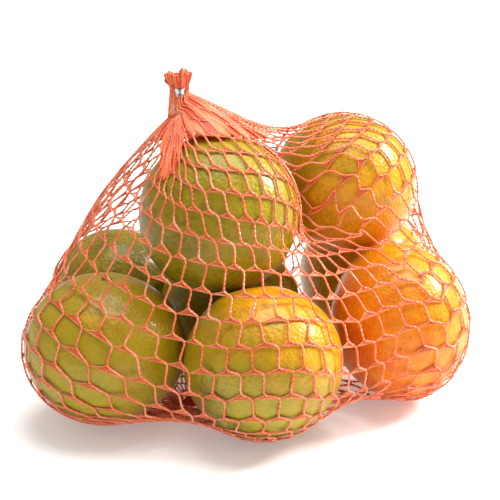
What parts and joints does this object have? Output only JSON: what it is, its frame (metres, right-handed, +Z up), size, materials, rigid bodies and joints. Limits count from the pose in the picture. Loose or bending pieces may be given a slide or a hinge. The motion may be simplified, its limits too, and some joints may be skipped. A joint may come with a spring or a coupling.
{
  "type": "mesh produce bag",
  "caption": "Knitted plastic net bag stretched over a pile of citrus fruit, gathered to a neck and closed by a crimped metal clip.",
  "frame": {"origin": "on the ground, under the middle of the bag's bounding box", "axes": "+Z up, -Y towards the front of the bag, +X to the right seen from the front; the neck stands on the -X side"},
  "size_m": [0.2044, 0.1837, 0.1535],
  "materials": {
    "net": "knitted polyethylene net, orange, slightly glossy",
    "clip": "crimped aluminium strip",
    "peel": "citrus peel, green turning yellow and orange, waxy with fine pores",
    "stem": "dry green-brown stem button"
  },
  "bodies": {
    "net": {"net_body": "net", "foot_gather": "net", "foot_clip": "clip", "foot_tail": "net"},
    "neck": {"net_neck": "net", "top_clip": "clip", "net_tuft": "net"},
    "front": {"fruit_front": "peel", "stem_front": "stem"},
    "left": {"fruit_left": "peel", "stem_left": "stem"},
    "right": {"fruit_right": "peel", "stem_right": "stem"},
    "back_left": {"fruit_back_left": "peel", "stem_back_left": "stem"},
    "back_centre": {"fruit_back_centre": "peel", "stem_back_centre": "stem"},
    "back_right": {"fruit_back_right": "peel", "stem_back_right": "stem"},
    "top_left": {"fruit_top_left": "peel", "stem_top_left": "stem"},
    "top_right": {"fruit_top_right": "peel", "stem_top_right": "stem"}
  },
  "joints": [
    {"name": "neck_flop", "type": "hinge", "parent": "net", "child": "neck", "pos_m": [-0.0304, 0, 0.1378], "axis": [0, 1, 0], "range_deg": [-35, 35]},
    {"name": "front_turn", "type": "hinge", "parent": "net", "child": "front", "pos_m": [0.0064, -0.055, 0.0357], "axis": [-0.15, 0.4501, 0.8803], "continuous": true},
    {"name": "left_turn", "type": "hinge", "parent": "net", "child": "left", "pos_m": [-0.0636, -0.0378, 0.0358], "axis": [0.0398, 0.0797, 0.996], "continuous": true},
    {"name": "right_turn", "type": "hinge", "parent": "net", "child": "right", "pos_m": [0.0686, -0.0115, 0.0378], "axis": [0.982, 0.1473, 0.1178], "continuous": true},
    {"name": "back_left_turn", "type": "hinge", "parent": "net", "child": "back_left", "pos_m": [-0.0646, 0.0468, 0.0311], "axis": [-0.4056, 0.507, 0.7605], "continuous": true},
    {"name": "back_centre_turn", "type": "hinge", "parent": "net", "child": "back_centre", "pos_m": [-0.0085, 0.017, 0.0336], "axis": [0.2074, 0.5185, 0.8296], "continuous": true},
    {"name": "back_right_turn", "type": "hinge", "parent": "net", "child": "back_right", "pos_m": [0.0568, 0.0581, 0.0338], "axis": [0.5234, 0.6281, 0.5758], "continuous": true},
    {"name": "top_left_turn", "type": "hinge", "parent": "net", "child": "top_left", "pos_m": [-0.0134, -0.0177, 0.0911], "axis": [0.1002, 0.9016, -0.4208], "continuous": true},
    {"name": "top_right_turn", "type": "hinge", "parent": "net", "child": "top_right", "pos_m": [0.0441, 0.0244, 0.0917], "axis": [0.307, 0.5628, 0.7675], "continuous": true}
  ]
}
